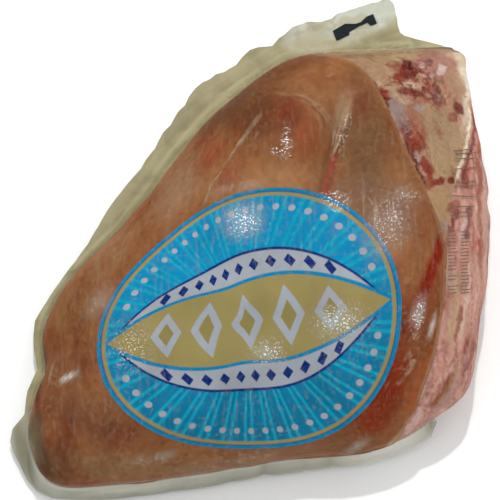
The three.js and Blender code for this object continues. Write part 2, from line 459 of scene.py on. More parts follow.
SKIN_STROKES = [
    # colour, strength, half its width, then its line in the picture
    ("7E281C", 0.98, 6.6, [(452, 214), (445, 234), (434, 262), (424, 292), (414, 324), (406, 350)]),
    ("9A4A3A", 0.95, 4.2, [(337, 146), (333, 164), (327, 184), (321, 206)]),
    ("946E4E", 0.6, 2.2, [(262, 92), (300, 95), (322, 108), (333, 128), (334, 150)]),
    ("6A3B28", 0.5, 1.5, [(276, 89), (306, 100), (322, 115), (328, 136)]),
    # 5A3A28: painted shade along the upper left edge, where the lobe falls away.
    ("5A3A28", 0.7, 3.0, [(150, 188), (180, 146), (214, 110), (250, 80), (284, 64)]),
    ("5E2A1E", 0.9, 2.6, [(44, 342), (43, 362), (40, 386), (37, 404), (34, 430)]),
    ("B09A80", 0.6, 2.4, [(420, 405), (402, 433), (384, 452), (360, 466)]),
    ("A98468", 0.7, 2.4, [(445, 290), (440, 330), (432, 362), (421, 394), (410, 414)]),
    # 523A26: painted shade along the lower left edge, where the side turns away.
    ("523A26", 0.9, 8.0, [(38, 400), (35, 428), (38, 450), (46, 469), (60, 481)]),
]
CUT_PATCHES = [
    ("A08560", 0.9, 384, 54, 44, 8, 4), ("B09672", 0.8, 404, 57, 14, 4, 0),
    ("A6756A", 0.85, 436, 66, 22, 14, 10), ("AA8468", 0.8, 452, 90, 12, 22, 0),
    ("A48668", 0.9, 440, 138, 20, 32, -8), ("A68A66", 0.7, 446, 168, 12, 12, 0),
    ("9F6650", 0.8, 417, 122, 8, 22, -20), ("93492F", 0.8, 457, 49, 7, 3, 10),
    (PEARL, 0.95, 442, 70, 6, 4.5, -25), (PEARL, 0.8, 432, 76, 4, 2.5, -20),
    (LILAC, 0.95, 399, 114, 8.5, 21, -22), (LILAC, 0.95, 407, 132, 4.5, 8, -25),
    ("B79A82", 0.85, 407, 99, 11, 4.5, 0), ("9A948C", 0.85, 436, 97, 4.5, 5.5, -30),
    ("BFA294", 0.7, 433, 88, 3.5, 4.5, -30), ("A59490", 0.8, 420, 108, 5, 4.5, 0),
    (BLOOD, 0.9, 400, 78, 7, 8, 25), ("541F1D", 0.97, 406, 67, 6, 6, -30),
    (DARK_BLOOD, 0.97, 410, 73, 5.5, 8, -20), ("3E1616", 0.97, 408, 67, 3.5, 4, -20),
    ("6A2A2A", 0.9, 412, 92, 13, 3.2, 8), ("C9AE94", 0.9, 411, 84, 8, 3.4, 20),
    ("84403C", 0.7, 428, 88, 7, 5, 30), ("A0604E", 0.6, 424, 100, 18, 4, 10),
    ("6B2B2D", 0.9, 458, 109, 6.5, 4.5, 45), ("8A4840", 0.7, 453, 118, 7, 4, 10),
    ("7A4A4C", 0.8, 429, 62, 4.5, 4.5, -30), ("C0A49C", 0.7, 422, 66, 3.5, 5, 0),
    ("7A2620", 0.95, 386, 92, 5.5, 9, -12), ("5F2222", 0.8, 386, 103, 3, 6, -15),
    ("A89070", 0.8, 395, 93, 7, 5, 20), ("7A281E", 0.95, 414, 146, 7, 10, -25),
    ("8A3C2E", 0.7, 420, 140, 5, 10, -20), ("A99088", 0.9, 419, 160, 4, 10, -25),
    ("8A3428", 0.9, 428, 168, 5, 13, -28), ("72241E", 0.9, 437, 182, 7, 4.5, -15),
    ("6E2620", 0.9, 451, 181, 4.5, 4, 0), ("87382E", 0.7, 428, 184, 5, 7, -10),
    ("8A4038", 0.6, 396, 68, 12, 2.6, 18), ("AA8764", 0.9, 440, 204, 13, 12, -20),
    ("8E4638", 0.7, 454, 206, 8, 5, -30), ("9E8880", 0.8, 443, 228, 4, 9, 15),
]
CUT_RIM_HIGHLIGHTS = [
    # painted highlight: a soft pale bloom of light on the fat's rounded rim, in the same way
    (RIM_HIGHLIGHT_CREAM, 0.95, 462, 68, 7, 20, -3), ("C6AC90", 0.7, 452, 60, 14, 9, 20),
    ("E2D2BC", 0.9, 465, 98, 4.5, 30, 2), ("B08A72", 0.6, 450, 96, 8, 10, 0),
]
CUT_STROKES = [
    (DARK_BLOOD, 0.9, 1.8, [(370, 76), (378, 90), (386, 104)]),
    (DARK_BLOOD, 0.9, 2.0, [(402, 136), (410, 152), (418, 170), (429, 192)]),
    # a painted highlight along the fat's rim
    (RIM_HIGHLIGHT_CREAM, 0.9, 1.5, [(469, 92), (470, 118), (467, 140), (461, 166), (452, 194)]),
    ("7C4648", 0.85, 2.0, [(473, 84), (475, 108), (473, 138), (467, 166), (456, 198)]),
    ("9A7C5A", 0.6, 2.0, [(372, 72), (382, 80), (392, 84), (402, 84)]),
    ("C9B08E", 0.6, 2.0, [(376, 80), (384, 86), (392, 90)]),
]

# Streaks of fat and muscle along the sawn face's far side and its lower part; the palest two, D6BAA4
# and CDA9A0, are painted highlight and sheen on the film over it.
LEAN_STROKES = [
    ("B89878", 0.9, 4.0, [(460, 262), (456, 290), (455, 316), (450, 340), (446, 352)]),
    ("B28E80", 0.8, 4.0, [(452, 256), (449, 280), (450, 300), (447, 330)]),
    ("D6BAA4", 0.8, 2.0, [(470, 250), (468, 290), (463, 320), (461, 350)]),
    ("8C4A40", 0.7, 2.6, [(462, 300), (458, 330), (454, 345)]),
    ("9B5E4C", 0.8, 3.0, [(476, 120), (480, 160), (478, 200), (481, 240), (479, 290)]),
    ("7E4A48", 0.8, 3.4, [(470, 200), (468, 222), (463, 244)]),
    ("C2A094", 0.8, 3.0, [(478, 130), (484, 170), (486, 220), (485, 262)]),
    ("CBB0A8", 0.8, 2.2, [(468, 208), (464, 226), (460, 244)]),
    ("7C3A34", 0.8, 3.0, [(458, 206), (452, 222), (448, 238)]),
    ("96583C", 0.9, 4.0, [(455, 366), (447, 386), (436, 402), (428, 412)]),
    ("A98266", 0.7, 3.0, [(462, 350), (456, 372), (446, 394), (430, 416)]),
    ("CDA9A0", 0.9, 3.6, [(424, 400), (418, 418), (408, 432), (400, 440)]),
    ("B48C82", 0.8, 4.0, [(470, 340), (466, 368), (452, 392), (436, 412), (414, 432)]),
    ("8E4E48", 0.6, 2.0, [(474, 330), (470, 360), (460, 384)]),
]


def lay(colours, px, py, facing, patches=(), strokes=(), soft=0.5):
    """Lays patches and strokes drawn in the picture over colours where they face the eye."""
    for code, strength, *ellipse in patches:
        share = patch(px, py, *ellipse, soft=soft)
        colours = tint(colours, share * facing, paint(code), strength)
    for code, strength, width, line in strokes:
        share = ease(0.15, 0.8, stroke(px, py, line, width, 0.25))
        colours = tint(colours, share * facing, paint(code), strength)
    return colours


def meat_rows(turn, level, closed=True):
    """Points of the meat before it swells, their normals, their places in the picture, how far
    they face the eye, a noise, and how many pixels beyond the skin's edge they lie."""
    base = body_points(turn, level)
    normals = grid_normals(base, closed)
    px, py = picture_place(base)
    facing = facing_eye(normals, level)
    wander = 1.8 * cloud(base, 7, 101, 3)
    gap, _ = beside(px, py, SKIN_EDGE)
    edge_x = SKIN_EDGE_BEHIND - EDGE_DRAWS_IN * ease(-45, -75, base[..., 1])
    behind = (base[..., 0] - edge_x) * PIXELS_A_MM + 2 * cloud(base, 14, 9)
    beyond = np.where(facing > 0, gap + 0.3 * wander, behind)
    return base, normals, px, py, facing, wander, beyond


def paint_skin(base, px, py, facing, wander):
    mottle = cloud(base, 24, 21, 3)
    colours = tint(np.ones(base.shape) * RIND, ease(0.0, 0.9, mottle), RIND_TAN, 0.6)
    colours = tint(colours, ease(0.0, 0.9, -mottle), RIND_DARK, 0.45)
    colours = lay(colours, px + wander * 1.5, py - wander * 1.5, facing, SKIN_PATCHES, soft=0.7)
    colours = lay(colours, px + wander * 0.6, py + wander * 0.6, facing, strokes=SKIN_STROKES)
    return tint(colours, ease(0.2, 0.9, cloud(base, 11, 33, 3)), RIND_RED, 0.22)


def veins(points, size, seed, width):
    """1 on thin branching lines, 0 between them."""
    return 1 - ease(width * 0.4, width, np.abs(cloud(points, size, seed, 3)))


def paint_cut(base, px, py, facing, wander):
    px = px + 0.9 * wander + 2.2 * cloud(base, 3.2, 131, 3)
    py = py - 0.7 * wander + 2.2 * cloud(base, 3.2, 137, 3)
    colours = np.ones(base.shape) * FAT
    colours = tint(colours, ease(0.1, 0.8, cloud(base, 14, 44)), FAT_PINK, 0.5)
    colours = tint(colours, ease(0.2, 0.9, cloud(base, 10, 47)), FAT_OLIVE, 0.8)
    colours = tint(colours, ease(0.1, 0.7, cloud(base, 3.5, 57, 3)), paint("C09C7C"), 0.35)
    grain = cloud(base * (3.4, 0.45, 1.8), 9, 41, 3)
    lean = np.ones(base.shape) * LEAN
    lean = tint(lean, ease(0.05, 0.6, grain), LEAN_PALE, 0.7)
    lean = tint(lean, ease(0.2, 0.8, -grain), LEAN_DARK, 0.5)
    lean = tint(lean, veins(base * (4, 0.35, 2), 12, 61, 0.16), paint("8E5450"), 0.55)
    lean = lay(lean, px, py, facing, strokes=LEAN_STROKES)
    gap, _ = beside(px, py, RIM_LINE)
    outside = np.where(facing > 0, ease(0, 3, gap), 1)
    lean_share = np.maximum(outside, ease(222, 252, py + wander * 3) * (facing > 0))
    colours = colours * (1 - lean_share[..., None]) + lean * lean_share[..., None]
    # Painted highlight on the fat's rounded rim.
    colours = lay(colours, px, py, facing, CUT_RIM_HIGHLIGHTS, soft=0.9)
    colours = lay(colours, px, py, facing, CUT_PATCHES, soft=0.22)
    net = patch(px, py, 412, 80, 26, 20, 20, 0.6) + patch(px, py, 416, 150, 10, 34, -22, 0.5)
    net = np.clip(net + 0.7 * patch(px, py, 440, 98, 22, 12, 35, 0.6), 0, 1) * facing
    colours = tint(colours, veins(base, 7, 67, 0.17) * net, paint("6E2626"), 0.8)
    colours = tint(colours, veins(base, 4, 73, 0.15) * net, paint("8E4238"), 0.7)
    colours = tint(colours, ease(0.35, 0.7, cloud(base, 3.0, 52, 2)) * net, paint("C2A28C"), 0.5)
    colours = tint(colours, ease(0.45, 0.75, cloud(base, 3.4, 152, 2)) * net, paint("7A2E2A"), 0.7)
    return lay(colours, px, py, facing, strokes=CUT_STROKES)


def add_node(tree, kind, inputs=None, **settings):
    """A shader node with these inputs and settings."""
    node = tree.nodes.new("ShaderNode" + kind)
    for setting, value in settings.items():
        setattr(node, setting, value)
    feed(tree, node, inputs or {})
    return node


def mottled(tree, place, size, detail, roughness=0.5):
    """A cloudy texture, with more spots to the metre as size grows."""
    inputs = {"Vector": place, "Scale": size, "Detail": detail, "Roughness": roughness}
    return add_node(tree, "TexNoise", inputs).outputs["Fac"]


def ramp(tree, value, low, high, to_low=0, to_high=1, **settings):
    """A value's way from low to high, laid out between two other values."""
    inputs = {"Value": value, "From Min": low, "From Max": high}
    inputs.update({"To Min": to_low, "To Max": to_high})
    return add_node(tree, "MapRange", inputs, **settings).outputs["Result"]


def scaled(tree, colour, amount):
    node = add_node(tree, "VectorMath", {0: colour, "Scale": amount}, operation="SCALE")
    return node.outputs["Vector"]


def laid_over(tree, share, below, above, **settings):
    """One colour over another where share is 1."""
    inputs = {0: share, 6: below, 7: above}
    return add_node(tree, "Mix", inputs, data_type="RGBA", **settings).outputs[2]


LEG_TURN = math.radians(-42)    # the way the leg runs, which the flesh's grain follows


def meat_material(name, grain, streak, pore_bump, roughness):
    """Flesh colours from the mesh, with streaks and fine specks of darker and paler tissue."""
    material, tree, shader = new_material(name, {
        "Roughness": roughness, "Specular IOR Level": 0.0, "Subsurface Weight": 0.08,
        "Subsurface Radius": (1.0, 0.4, 0.25), "Subsurface Scale": 0.002})
    place = add_node(tree, "TexCoord").outputs["Object"]

    def texture(size, detail, stretch=(1, 1, 1), roughness=0.55):
        along_leg = {"Vector": place, "Rotation": (0, 0, LEG_TURN), "Scale": stretch}
        turned = add_node(tree, "Mapping", along_leg).outputs["Vector"]
        return mottled(tree, turned, size, detail, roughness)

    def stained(colour, share, code):
        return laid_over(tree, share, colour, (*srgb(code), 1), blend_type="MULTIPLY")

    streaks = texture(streak, 6, (1, 0.3, 0.6), 0.65)
    stains = texture(streak * 0.6, 5, (1, 0.6, 1), 0.7)
    colour = add_node(tree, "Attribute", attribute_name="flesh").outputs["Color"]
    colour = scaled(tree, colour, ramp(tree, texture(grain, 5), 0.3, 0.7, 0.84, 1.14))
    colour = scaled(tree, colour, ramp(tree, streaks, 0.32, 0.68, 0.86, 1.14))
    colour = stained(colour, ramp(tree, stains, 0.53, 0.7, 0, 0.75), "E2A08C")
    colour = stained(colour, ramp(tree, texture(grain * 1.1, 2), 0.66, 0.72, 0, 0.6), "B07050")
    pores = {"Strength": pore_bump, "Distance": 0.0003, "Height": texture(streak * 2.2, 3)}
    pored = add_node(tree, "Bump", pores).outputs["Normal"]
    feed(tree, shader, {"Base Color": colour, "Normal": pored})
    return material


def steps_round(sectors):
    """Directions once round the pack, anticlockwise from the left."""
    return np.linspace(-np.pi, np.pi, sectors, endpoint=False)


def steps_down(top, under):
    """Levels from just under the crown to the widest line and on to the flat underneath."""
    return np.concatenate([np.arange(1, top + 1) / top, 1 + np.arange(1, under + 1) / under])


SKIN_SECTORS, SKIN_TOP, SKIN_UNDER = 540, 154, 24
turns, levels = steps_round(SKIN_SECTORS)[None, :], steps_down(SKIN_TOP, SKIN_UNDER)
base, normals, px, py, facing, wander, beyond = meat_rows(turns, levels[:, None])
fold_groove = stroke(px, py, [(352, 92), (342, 128), (331, 162), (321, 204)], 4.5) * facing
inset = UNDER_FILM + (SKIN_STEP + 0.8) * ease(0.5, 3.0, beyond) + 2.2 * fold_groove
skin_grid = base + normals * (lumps(base) - inset)[..., None]
skin_grid[..., 2] = np.maximum(skin_grid[..., 2], 0.4)
skin_colours = paint_skin(base, *picture_place(skin_grid), facing, wander)
hidden = ease(0.5, 1.5, beyond)     # the skin's part that lies under the sawn face
# A27A58 just inside the skin's edge is a painted highlight along that edge.
for share, code, strength in (
        (ease(-3, -0.5, beyond), "A27A58", 0.55), (hidden, "6E3A2A", 1.0),
        (hidden * (1 - ease(56, 68, py)), "A88A68", 1.0), (hidden * ease(400, 425, py), "A87868", 1.0)):
    skin_colours = tint(skin_colours, share, paint(code), strength)
rind = meat_material("smoked_rind", grain=420, streak=95, pore_bump=0.12, roughness=0.5)
grid_piece("hock_skin", skin_grid, rind, fields={"flesh": skin_colours})

CUT_SECTORS, CUT_ROWS = 610, 160
CUT_FROM, CUT_TO = math.radians(-66), math.radians(76)
CUT_LEVEL_FROM, CUT_LEVEL_TO = 0.38, 1.75
TUCK = 3.2                      # how far the sawn face's border dives under the skin
turns = np.linspace(CUT_FROM, CUT_TO, CUT_SECTORS)[None, :]
levels = np.linspace(CUT_LEVEL_FROM, CUT_LEVEL_TO, CUT_ROWS)
base, normals, px, py, facing, wander, beyond = meat_rows(turns, levels[:, None], closed=False)
relief = 0.35 * cloud(base, 6, 8) + 0.5 * cloud(base, 12, 18)
sunk = patch(px, py, 409, 72, 7, 9) + patch(px, py, 386, 98, 5, 9) + patch(px, py, 416, 150, 6, 14, -25)
inset = UNDER_FILM + (SKIN_STEP + 0.2) * ease(-2.0, 1.0, beyond) * (1 - 0.75 * ease(4, 20, beyond))
inset = inset + np.clip(relief, -0.2, 1) + 0.9 * sunk * facing
inset = inset + TUCK * (1 - ease(-6.0, -1.5, beyond))
cut_grid = base + normals * (lumps(base) - np.maximum(inset, UNDER_FILM))[..., None]
cut_grid[..., 2] = np.maximum(cut_grid[..., 2], 0.5)
cut_colours = paint_cut(base, *picture_place(cut_grid), facing, wander)
sawn_meat = meat_material("sawn_meat", grain=560, streak=180, pore_bump=0.3, roughness=0.45)
grid_piece("hock_sawn_face", cut_grid, sawn_meat, "open", {"flesh": cut_colours})

# ---- the bag --------------------------------------------------------------------
# One bag of clear shrunk film, drawn tight on the meat. Its two sheets lie together in
# a border that is widest along the calf and ends in a crumpled tab at the thick end.

# Places in the picture along the border's free edge, from the tab round by the left.
BORDER_EDGE = [
    (456, 56), (449, 49), (441, 45.5), (430, 43), (416, 39.5), (404, 36), (400, 33), (397, 24),
    (395, 12), (393, 4), (388, -0.5), (372, 4), (352, 10), (337, 14.5), (331, 19.5), (323, 22),
    (314, 23.7), (306, 23), (293, 28.5), (285, 35), (279, 38.5), (272.5, 46.5), (258, 47.5), (250, 50),
    (243.5, 56), (236, 65.5), (224, 72.5), (216, 74.5), (210, 79.5), (203, 82.5), (196, 88), (189, 97),
    (185, 105.5), (178, 112), (171, 125), (163.5, 132.5), (155, 149), (146, 160), (141, 169),
    (131, 180), (121, 192.5), (108, 210), (98, 227), (88, 244), (76, 261), (60, 282), (46, 303),
    (35, 321), (33.5, 335), (33.6, 348), (35.6, 358), (37.6, 370), (31, 383.5), (27.6, 391),
    (24.6, 415), (13, 429.5), (10.6, 442), (14, 452), (19.5, 463), (27, 479), (36.5, 491), (52, 498),
    (82, 500), (107, 499.5), (137, 496.5), (172, 491.5), (196, 489), (230, 482), (264, 475.5),
    (305, 470.5), (332, 467), (357, 465.5), (382, 459), (407, 451), (422, 443), (431, 437), (433, 431),
    (435, 427),
]
# Where the meat stops against the film in the picture, the same way round.
MEAT_SEEN_EDGE = [
    (489, 230), (488, 190), (479, 140), (471, 100), (470, 62), (462, 49), (441, 46), (420, 45),
    (399, 46), (370, 47), (345, 48), (317, 54), (293, 56), (271, 65), (250, 81), (233, 95), (218, 108),
    (205, 120), (194, 133), (184, 145), (175, 157), (167, 168), (160, 179), (152, 190), (134, 212),
    (111, 232), (95, 244), (82, 259), (67, 277), (51, 299), (38, 324), (42, 352), (41, 381), (28, 421),
    (36, 446), (42, 478), (87, 484), (152, 481), (205, 472), (280, 462), (362, 453), (409, 437),
    (438, 420), (455, 402), (470, 384), (475, 360), (479, 335), (482, 300), (486, 265),
]
PICTURE_MIDDLE = (260.0, 245.0)     # a place in the picture well inside the meat
FILM_SECTORS, FILM_TOP, FILM_UNDER = 520, 166, 20
BORDER_SECTORS, SHEET_ROWS, UNDER_ROWS = 1300, 40, 16
BORDER_THICKNESS = 0.5
LEAVES_MEAT_AT = 0.955          # level at which the upper sheet leaves the meat
MEETS_MEAT_AT = 1.62            # level at which the lower sheet comes back to it
BORDER_CLEAR = 0.12             # how far the border starts outside the tight film
BORDER_HIDDEN = 1.8             # how far it draws back inside where the bag hugs the meat
LEAVES_ALONG, MEETS_ALONG = 0.45, 0.4   # how long each end keeps its own direction

PLEATS = [
    # height in millimetres, width in pixels, haze, then the line in the picture. The pale haze along
    # them is partly milky film where it lifts and partly painted highlight along the folds.
    (0.7, 1.5, 0.55, [(353, 92), (349, 108), (343, 128), (337, 146), (331, 160)]),
    (0.6, 1.2, 0.6, [(344, 108), (338, 130), (333, 152)]),
    (0.4, 1.0, 0.5, [(350, 98), (347, 118), (340, 138)]),
    (0.3, 1.0, 0.5, [(338, 118), (334, 132), (332, 148)]),
    (0.3, 1.4, 0.4, [(348, 86), (350, 100), (348, 112)]),
    (0.5, 2.6, 0.45, [(264, 113), (256, 122), (246, 136), (236, 150)]),
    (0.5, 1.1, 0.45, [(246, 136), (236, 150), (226, 165), (215, 180), (207, 196), (203, 210)]),
    (0.3, 1.0, 0.2, [(262, 130), (254, 140), (246, 150)]),
    (0.6, 1.3, 0.5, [(57, 384), (64, 377), (73, 373), (84, 372)]),
    (0.5, 1.2, 0.3, [(54, 360), (52, 372), (48, 384)]),
    (0.35, 2.6, 0.2, [(90, 318), (96, 304), (104, 292)]),
    (0.9, 2.4, 0.5, [(424, 300), (419, 316), (414, 332), (411, 342)]),
    (0.6, 1.2, 0.5, [(433, 314), (431, 326), (427, 338), (422, 350)]),
    (0.5, 1.3, 0.45, [(415, 356), (411, 368), (404, 377), (396, 386)]),
    (0.4, 1.0, 0.3, [(409, 350), (404, 362)]),
    (0.16, 1.1, 0.26, [(286, 93), (305, 97), (321, 106), (331, 118), (335, 134)]),
    (0.14, 1.0, 0.26, [(297, 98), (314, 106), (324, 116), (328, 130)]),
    (0.14, 1.0, 0.28, [(312, 110), (320, 120), (322, 134)]),
    (0.22, 1.0, 0.35, [(326, 78), (334, 74), (344, 71)]),
    (0.3, 1.2, 0.3, [(170, 214), (175, 204), (182, 193)]),
    (0.25, 1.4, 0.2, [(212, 206), (226, 198), (244, 190), (262, 186)]),
]
HAZES_AND_SHEENS = [
    # colour, cover, then an ellipse in the picture. The pale ones on the facet at (388, 226), (352,
    # 192) and (402, 196), over the label at (243, 220), (336, 322) and (266, 352), at the left at (100,
    # 302) and (69, 377) and on the right slope at (418, 312) and (432, 326) are painted highlights and
    # sheen; the rest are milky film.
    ("B9A295", 0.30, 388, 226, 20, 26, 20), ("A88A76", 0.10, 352, 192, 26, 10, -20),
    ("B39A80", 0.08, 342, 112, 8, 28, 12), ("B8A694", 0.12, 146, 460, 20, 4, -5),
    ("A89A88", 0.35, 166, 455, 9, 4, -15), ("B4A698", 0.5, 356, 447, 12, 4, -30),
    ("C4AE9C", 0.10, 236, 462, 60, 5, -9), ("C0A294", 0.35, 250, 186, 12, 4, -10),
    ("C0A090", 0.25, 222, 190, 10, 4, -25), ("C4D2DA", 0.40, 243, 220, 17, 14, -25),
    ("C8C8B4", 0.30, 336, 322, 20, 14, -10), ("C4C8C0", 0.25, 266, 352, 12, 10, 0),
    ("B09478", 0.2, 176, 196, 12, 26, 35), ("BDA48F", 0.3, 100, 302, 9, 16, 30),
    ("B39C8E", 0.3, 402, 196, 8, 8, 0), ("858064", 0.5, 24, 440, 14, 26, 0),
    ("B0A080", 0.4, 372, 49, 72, 4, -2), ("A8A48C", 0.5, 31, 456, 4, 14, -14),
    ("DCD4CC", 0.55, 69, 377, 9, 2.8, -28), ("B8A8A4", 0.42, 418, 312, 5.5, 14, 16),
    ("E4DCD4", 0.6, 432, 326, 2.6, 11, 14),
]
FROST_AND_SHEEN = [
    # how thickly fine pale flecks cover the film, then an ellipse in the picture: dry flecks at the
    # bottom and elsewhere, painted sheen where they gather on the facet, the crease, the lobe's glint
    # and the left and right slopes
    (0.9, 384, 216, 30, 34, 15), (0.8, 350, 196, 24, 14, -20), (0.7, 236, 458, 70, 10, -9),
    (0.8, 146, 460, 30, 8, -5), (0.6, 340, 140, 12, 36, 15), (0.6, 250, 186, 24, 10, -10),
    (0.5, 176, 196, 16, 30, 35), (0.6, 96, 300, 12, 22, 30), (0.6, 56, 376, 20, 16, 0),
    (0.7, 412, 366, 14, 24, 20), (0.3, 280, 120, 30, 26, 0), (0.6, 414, 320, 14, 26, 10),
    (0.4, 430, 96, 40, 50, 0),
]
GRIT_AND_GLINTS = [
    # how gritty the film is and how thickly painted white glint specks lie on it, then an ellipse in
    # the picture
    (0.5, 388, 226, 14, 24, 10), (0.5, 410, 196, 12, 9, 0), (1.0, 286, 141, 5, 15, 0),
    (1.0, 280, 152, 9, 5, 20), (0.9, 334, 200, 14, 8, 10), (0.8, 244, 222, 16, 14, -20),
    (0.6, 340, 320, 26, 20, -10), (0.7, 268, 352, 18, 14, 0), (0.7, 132, 346, 22, 22, 0),
    (0.6, 418, 318, 6, 20, 10), (0.35, 344, 134, 5, 26, 15),
]


def from_picture_middle(across, down):
    """Direction and distance of picture places from PICTURE_MIDDLE."""
    dx, dy = across - PICTURE_MIDDLE[0], PICTURE_MIDDLE[1] - down
    return np.arctan2(dy, dx), np.hypot(dx, dy)


# How far out the whole of the meat reaches in the picture, in each direction.
skin_turn, skin_away = from_picture_middle(*picture_place(skin_grid))
OUTLINE_STEPS = 720
outline = np.zeros(OUTLINE_STEPS)
step = ((skin_turn + np.pi) / (2 * np.pi) * (OUTLINE_STEPS - 0.01)).astype(int)
np.maximum.at(outline, step, skin_away)
outline_turn = (np.arange(OUTLINE_STEPS) + 0.5) / OUTLINE_STEPS * 2 * np.pi - np.pi
seen_turn, seen_away = from_picture_middle(*np.array(MEAT_SEEN_EDGE, float).T)


def past_meat(across, down):
    """How far picture places lie outside the meat, in pixels: outside the edge where it is
    seen against the film, and outside the whole of it."""
    turn, away = from_picture_middle(across, down)
    seen = away - np.interp(turn, seen_turn, seen_away, period=2 * np.pi)
    return seen, away - np.interp(turn, outline_turn, outline, period=2 * np.pi)


turns, levels = steps_round(FILM_SECTORS)[None, :], steps_down(FILM_TOP, FILM_UNDER)
base = body_points(turns, levels[:, None])
normals = grid_normals(base)
px, py = picture_place(base + normals * lumps(base)[..., None])
facing = facing_eye(normals, levels[:, None])
lift = 0.05 + 0.10 * np.clip(cloud(base, 13, 64, 2), 0, 1)
waver = cloud(base, 5, 83, 2)
broken = 0.35 + 0.65 * ease(-0.35, 0.35, cloud(base, 2.4, 91, 2))
haze = np.zeros(px.shape)
haze_and_sheen_colour = np.ones(base.shape) * srgb("B49E84")
# Milky film, and the painted highlights and sheen, laid on the tight film.
for code, cover, *ellipse in HAZES_AND_SHEENS:
    share = patch(px, py, *ellipse, soft=0.9) * facing
    haze = np.maximum(haze, cover * share)
    haze_and_sheen_colour = tint(haze_and_sheen_colour, share, srgb(code))
# Pleats lift the film and lay pale lines that are partly painted highlight.
for height, width, cover, line in PLEATS:
    share = stroke(px + 0.8 * waver, py + 0.8 * waver, line, width) * facing
    lift = lift + height * share
    haze = np.maximum(haze, cover * ease(0.2, 0.9, share) * broken)
back_strip = ease(0.0, 4.0, past_meat(px, py)[0]) * (py < 240) * (px < 452)
back_strip = back_strip * (levels <= 1)[:, None]
haze = np.maximum(haze, 0.96 * back_strip)
haze_and_sheen_colour = tint(haze_and_sheen_colour, back_strip, srgb("968B68"))


def raised(field, spots):
    """A field raised to each spot's strength inside its ellipse in the picture."""
    for strength, *ellipse in spots:
        field = np.maximum(field, strength * patch(px, py, *ellipse, soft=0.9) * facing)
    return field


grit_and_painted_glints, frost_and_sheen = raised(0 * facing, GRIT_AND_GLINTS), raised(0.28 * facing, FROST_AND_SHEEN)
tight_grid = base + normals * (lumps(base) + lift)[..., None]
tight_grid[..., 2] = np.maximum(tight_grid[..., 2], 0.1)


def maths(tree, operation, *terms, clamp=False):
    """Numbers and sockets, added, multiplied and so on."""
    settings = {"operation": operation, "use_clamp": clamp}
    return add_node(tree, "Math", dict(enumerate(terms)), **settings).outputs[0]


CRINKLE = 170                   # fine crinkles of the film, to the metre


def film_material(name, gloss_share, roughness, bump, colour_field, cover_field, cover_range):
    """Clear film: milky where its cover field is high, with pale flecks that are partly painted sheen,
    painted white glint specks, and a gloss on top.
    """
    material, tree, milky = new_material(name, {"Roughness": 0.5, "Specular IOR Level": 0.0})
    place = add_node(tree, "TexCoord").outputs["Object"]

    def field(label, output="Fac"):
        return add_node(tree, "Attribute", attribute_name=label).outputs[output]

    def clamped(operation, first, second):
        return maths(tree, operation, first, second, clamp=True)

    streaks = mottled(tree, place, CRINKLE * 0.7, 4)
    haze = clamped("MULTIPLY", field(cover_field), ramp(tree, streaks, 0.3, 0.7, *cover_range))
    # Fine pale flecks and scratches; over the glinting places the frost field makes them painted sheen.
    flecks = ramp(tree, mottled(tree, place, 620, 3, 0.7), 0.53, 0.68, 0, 0.5)
    drawn_out = {"Vector": place, "Rotation": (0, 0, 0.5), "Scale": (1, 0.07, 0.5)}
    scratch_place = add_node(tree, "Mapping", drawn_out).outputs["Vector"]
    scratches = ramp(tree, mottled(tree, scratch_place, 700, 2), 0.58, 0.68, 0, 0.35)
    frost_and_sheen = clamped("MULTIPLY", clamped("ADD", flecks, scratches), field("frost_and_sheen"))
    grit_and_painted_glints = field("grit_and_painted_glints")
    # Painted glints: white specks laid into the cover where the sparkle field is high.
    painted_glint_specks = clamped("MULTIPLY", ramp(tree, mottled(tree, place, 1500, 0), 0.62, 0.68), grit_and_painted_glints)
    cover = clamped("ADD", clamped("ADD", haze, frost_and_sheen), painted_glint_specks)
    glint_specked_colour = laid_over(tree, painted_glint_specks, field(colour_field, "Color"), (0.9, 0.9, 0.9, 1))
    feed(tree, milky, {"Base Color": glint_specked_colour})
    clear = add_node(tree, "BsdfTransparent")
    body = add_node(tree, "MixShader", {"Fac": cover, 1: clear.outputs[0], 2: milky.outputs[0]})

    crinkles = {"Strength": bump, "Distance": 0.0004, "Height": mottled(tree, place, CRINKLE, 2)}
    crinkled = add_node(tree, "Bump", crinkles).outputs["Normal"]
    grit = {"Strength": grit_and_painted_glints, "Distance": 0.00032, "Height": mottled(tree, place, 1300, 1),
            "Normal": crinkled}
    gritty = add_node(tree, "Bump", grit).outputs["Normal"]
    sheen = {"Color": (1, 1, 1, 1), "Roughness": roughness, "Normal": gritty}
    gloss = add_node(tree, "BsdfGlossy", sheen)
    slant = add_node(tree, "LayerWeight", {"Blend": 0.5}).outputs["Facing"]
    shine = ramp(tree, maths(tree, "POWER", slant, 5), 0, 1, gloss_share, gloss_share + 0.06)
    surface = add_node(tree, "MixShader", {"Fac": shine, 1: body.outputs[0], 2: gloss.outputs[0]})
    feed(tree, tree.nodes["Material Output"], {"Surface": surface.outputs[0]})
    return material


clear_film = film_material("clear_film", gloss_share=0.005, roughness=0.10, bump=0.25,
                           colour_field="haze_and_sheen_colour", cover_field="haze", cover_range=(0.6, 1.3))
grid_piece("bag_film", tight_grid, clear_film, fields={
    "haze_and_sheen_colour": haze_and_sheen_colour, "haze": haze, "grit_and_painted_glints": grit_and_painted_glints, "frost_and_sheen": frost_and_sheen})


def sight_line(across, down):
    """The direction in which the eye sees a place of the picture."""
    mm = SEEN_WIDTH / PICTURE_SIDE
    right, up = (across - PICTURE_SIDE / 2) * mm, (PICTURE_SIDE / 2 - down) * mm
    return np.array((right, 0, 0)) + picture_up * up - towards_eye * LOOK_DISTANCE


